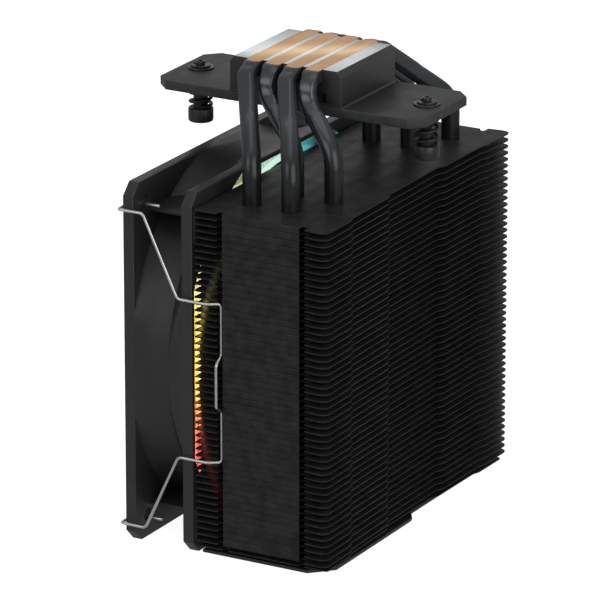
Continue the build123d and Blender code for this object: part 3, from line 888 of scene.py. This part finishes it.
# light channel sunk in the rear flange
recess_pts = []
for k in range(240):
    a = 2 * pi * k / 240
    r = min(65.0, 58.5 / max(1e-6, abs(cos(a))), 58.5 / max(1e-6, abs(sin(a))))
    recess_pts.append((r * cos(a), FAN_Z + r * sin(a)))
cutter = flat_plate(recess_pts, [], 22.4, 27.0, 0.0)
cutter.transform(TO_Y)
rear = boolean(rear, cutter, "DIFFERENCE")
duct = lathe([(62.3, 3.0), (62.3, 3.84), (59.97, 8.5), (59.97, 16.2), (64.9, 21.16), (64.9, 21.6), (58.8, 21.9), (58.6, 22.36), (56.1, 22.4), (56.0, 22.3), (56.0, 2.7), (56.35, 2.05), (57.05, 1.2), (57.9, 0.45), (58.6, 0.1),
              (59.3, 0.02), (59.7, 0.3)], 180, "y", (0, 0, FAN_Z), closed=True)
duct = boolean(duct, box_mesh(-59.96, 59.96, -1.0, 26.0, FAN_Z - 59.96, FAN_Z + 59.96, 0.0, 0), "INTERSECT")
parts = [front, rear, duct]
for s in (-1, 1):
    for d in (-49.5, 49.5):
        zz = FAN_Z + d
        # the rib starts inside the duct wall and stays between the flanges
        x0, x1 = (30.6, 50) if s > 0 else (-50, -30.6)
        parts.append(box_mesh(x0, x1, 3.4, 21.6, zz - 0.6, zz + 0.6, 0.15, 2))
seat = lathe([(0, 21.1), (19.9, 21.1), (20.35, 20.95), (20.5, 20.6), (20.5, 17.6), (20.3, 17.4), (4.8, 17.4), (4.8, 7.2), (4.6, 7.0),
              (3.62, 7.0), (3.62, 19.85), (0, 19.9)], 96, "y", (0, 0, FAN_Z))
for a in (45, 135, 225, 315):
    st = box_mesh(19.6, 57.0, 17.8, 21.1, -1.6, 1.6, 0.45, 3)
    st.transform(Matrix.Translation((0, 0, FAN_Z)) @ Matrix.Rotation(radians(a), 4, "Y"))
    parts.append(st)
parts.append(seat)
finish_piece(joined(parts), "fan_housing", "frame", "heatsink", ["fan_frame"], 32)


# ------------------------------------------------------------------ impeller
def lag(x, xs, ys):
    total = 0
    for i, a in enumerate(xs):
        w = ys[i]
        for j, b in enumerate(xs):
            if j != i:
                w *= (x - b) / (a - b)
        total += w
    return total


def blade_mesh():
    nr, nc = 18, 14
    R = [18.4 + (55.2 - 18.4) * k / nr for k in range(nr + 1)]
    xs = [18.9, 36.0, 57.0]
    top, bot = [], []
    for r in R:
        ymid = lag(r, xs, [9.4, 9.2, 9.0])
        rise = lag(r, xs, [4.6, 4.9, 4.5])
        chord = lag(r, xs, [12.5, 22.5, 31.0])
        sweep = radians(lag(r, xs, [0, 4, 14]))
        t = lag(r, xs, [1.9, 1.5, 1.1])
        rowt, rowb = [], []
        for k in range(nc + 1):
            c = -1 + 2 * k / nc
            x = c * chord / 2
            y = ymid + c * rise + 0.8 * (1 - c * c)
            # thin section, rounder at the leading edge
            th = t / 2 * (max(0.0, 1 - abs(c) ** 3.2) ** 0.5 * 0.86 + 0.12)
            arc = x / r           # wrap the chord round the axis
            ang = sweep + arc
            px, pz = r * cos(ang), r * sin(ang)
            rowt.append((px, y + th, FAN_Z + pz))
            rowb.append((px, y - th, FAN_Z + pz))
        top.append(rowt)
        bot.append(rowb)
    verts, faces = [], []
    for row in top:
        verts += row
    o = len(verts)
    for row in bot:
        verts += row
    w = nc + 1
    for i in range(nr):
        for j in range(nc):
            faces.append((i * w + j, i * w + j + 1, (i + 1) * w + j + 1, (i + 1) * w + j))
            faces.append((o + i * w + j, o + (i + 1) * w + j, o + (i + 1) * w + j + 1, o + i * w + j + 1))
    for i in range(nr):
        for j in (0, nc):
            faces.append((i * w + j, (i + 1) * w + j, o + (i + 1) * w + j, o + i * w + j))
    for j in range(nc):
        for i in (0, nr):
            faces.append((i * w + j, i * w + j + 1, o + i * w + j + 1, o + i * w + j))
    return mesh_from(verts, faces)


hub = lathe([(0, 2.0), (18.6, 2.0), (19.2, 2.1), (19.7, 2.45), (19.95, 2.95), (20.0, 3.4), (20.0, 16.35), (19.85, 16.6), (18.75, 16.6), (18.6, 16.45),
             (18.6, 3.6), (3.4, 3.6), (3.4, 6.4), (1.6, 6.4), (1.55, 2.7), (0, 2.7)], 128, "y", (0, 0, FAN_Z))
# shallow ring moulded in the hub's front cap
hub_ring = lathe([(13.2, 1.78), (13.5, 1.72), (14.3, 1.72), (14.6, 1.78), (14.7, 2.1), (13.1, 2.1)], 96, "y", (0, 0, FAN_Z), closed=True)
blade = blade_mesh()
imp = [hub]
for k in range(9):
    R = Matrix.Translation((0, 0, FAN_Z)) @ Matrix.Rotation(radians(40 * k), 4, "Y") @ Matrix.Translation((0, 0, -FAN_Z))
    imp.append(moved(blade, R))
finish_piece(joined(imp), "fan_rotor", "blade", "rotor", ["impeller"], 40)

# ------------------------------------------------------------------ wire clips
ZM = 59.3
ARM = 12 * PITCH
half_clip = [(52.5, 9.2, 52.6), (52.5, -0.9, 52.6), (61.5, -0.9, 52.6), (61.5, 8.2, 52.6), (61.5, 20.6, ARM),
             (61.5, 31.2, ARM), (58.9, 35.05, ARM), (58.9, 35.05, 9.4)]
full = [(x, y, ZM + z) for x, y, z in half_clip] + [(62.3, 35.05, ZM + 7.0), (62.3, 35.05, ZM - 7.0)] \
    + [(x, y, ZM - z) for x, y, z in reversed(half_clip)]
rad = [1.2, 1.2, 2.0, 2.0, 1.5, 1.2, 1.2, 1.2, 1.2, 1.2, 1.2, 1.5, 2.0, 2.0, 1.2, 1.2]
wire_path = rounded_points(full, rad, arc=7)
# rounded cut ends
wd = [0.0]
for a, b in zip(wire_path, wire_path[1:]):
    wd.append(wd[-1] + (b - a).length)
ends = [wire_path[0] + (wire_path[1] - wire_path[0]).normalized() * s for s in (0.0, 0.06, 0.2, 0.45)]
tails = [wire_path[-1] + (wire_path[-2] - wire_path[-1]).normalized() * s for s in (0.45, 0.2, 0.06, 0.0)]
wire_path = ends + wire_path[1:-1] + tails
NW = len(wire_path)


def wire_section(i):
    e = min(i, NW - 1 - i)
    r = 0.5 * (0.45, 0.72, 0.93, 1.0)[min(e, 3)]
    return [(r * cos(2 * pi * j / 16), r * sin(2 * pi * j / 16)) for j in range(16)]


wire = sweep_mesh(wire_path, wire_section)
finish_piece(wire.copy(), "clip_right", "steel", "clip_right", ["fan_clip_right"], 50)
left = wire.copy()
left.transform(Matrix.Scale(-1, 4, (1, 0, 0)))
left.flip_normals()
finish_piece(left, "clip_left", "steel", "clip_left", ["fan_clip_left"], 50)

# ------------------------------------------------------------------ soft corner pads
pads = []
for sx in (-1, 1):
    for z0, z1 in ((4.6, 15.4), (104.0, 114.8)):
        x0, x1 = (50.2, 59.4) if sx > 0 else (-59.4, -50.2)
        hz = FAN_Z - 52.5 if z0 < 60 else FAN_Z + 52.5
        outline = rounded_outline([(x0, z0), (x1, z0), (x1, z1), (x0, z1)], {0: 1.0, 1: 1.0, 2: 1.0, 3: 1.0})
        p = flat_plate(outline, [circle_pts(sx * 52.5, hz, 1.2, 20)], 25.0, 25.8, 0.15, 2)
        p.transform(TO_Y)
        pads.append(p)
finish_piece(joined(pads), "corner_pads", "pad", "heatsink", ["fan_pads"], 35)

# ------------------------------------------------------------------ CAD nodes that stay, with real materials
STAY = {"light_ring": "diffuser", "light_board": "board", "leds": "led", "bracket_screws": "screw", "rotor_yoke": "yoke",
        "rotor_magnet": "magnet", "rotor_shaft": "shaft", "shaft_retainer": "nylon", "bearing_sleeve": "bronze",
        "stator_core": "lamination", "stator_coils": "copper_wire", "motor_board": "motor_board"}
for n, m in STAY.items():
    o = NODES[n]
    o.data.materials.clear()
    o.data.materials.append(M[m])

# ------------------------------------------------------------------ floor, light and camera
fm = bpy.data.materials.new("floor_pale")
fm.use_nodes = True
ft = fm.node_tree
fb = ft.nodes["Principled BSDF"]
fb.inputs["Base Color"].default_value = (0.8, 0.8, 0.8, 1)
fb.inputs["Roughness"].default_value = 0.9
fb.inputs["Emission Color"].default_value = (1, 1, 1, 1)
fb.inputs["Emission Strength"].default_value = 0.93
me = mesh_from([(-9, -9, 0), (9, -9, 0), (9, 9, 0), (-9, 9, 0)], [(0, 1, 2, 3)], "floor")
floor = bpy.data.objects.new("floor", me)
floor.data.materials.append(fm)
bpy.context.scene.collection.objects.link(floor)
floor.visible_diffuse = False
floor.visible_glossy = False

world = bpy.data.worlds.new("studio")
world.use_nodes = True
bpy.context.scene.world = world
bg = world.node_tree.nodes["Background"]
bg.inputs["Color"].default_value = (1.0, 1.0, 1.0, 1)
bg.inputs["Strength"].default_value = 0.30


def area(name, loc, aim, size, power, colour=(1, 1, 1), size_y=None):
    l = bpy.data.lights.new(name, "AREA")
    l.shape = "RECTANGLE"
    l.size, l.size_y = size, size_y or size
    l.energy = power
    l.color = colour
    o = bpy.data.objects.new(name, l)
    bpy.context.scene.collection.objects.link(o)
    o.location = loc
    o.rotation_euler = (Vector(aim) - Vector(loc)).to_track_quat("-Z", "Y").to_euler()
    o.visible_camera = False
    return o


area("key_top", (0.25, 0.05, 1.30), (0, 0, 0.06), 0.9, 1.15)
area("side_left", (1.30, -0.45, 0.65), (0, 0, 0.08), 0.8, 2.2)
area("fill_right", (0.62, 1.06, 0.42), (0, 0, 0.07), 1.0, 4.2)
area("back_soft", (-1.14, -0.64, 0.88), (0, 0, 0.10), 2.0, 1.35, (0.93, 0.97, 1.0), 1.2)
area("base_glint", (-0.21, -0.12, 0.25), (0, 0, 0.153), 0.07, 0.013, (1.0, 0.96, 0.9))

cam_data = bpy.data.cameras.new("cam")
cam = bpy.data.objects.new("cam", cam_data)
bpy.context.scene.collection.objects.link(cam)
az, el = radians(119.41), radians(18.78)
back = Vector((sin(az) * cos(el), -cos(az) * cos(el), sin(el)))
target = Vector((0.00186, 31.13e-3 - Y0 * 1e-3, 0.06947))
cam.location = target + back * 1.8858
cam.rotation_mode = "QUATERNION"
cam.rotation_quaternion = back.to_track_quat("Z", "Y")
cam_data.sensor_width = 36.0
cam_data.lens = 5859.2 / 600.0 * 36.0
cam_data.clip_start, cam_data.clip_end = 0.05, 50.0
bpy.context.scene.camera = cam
bpy.context.scene.view_settings.view_transform = "Standard"
bpy.context.scene.view_settings.look = "None"
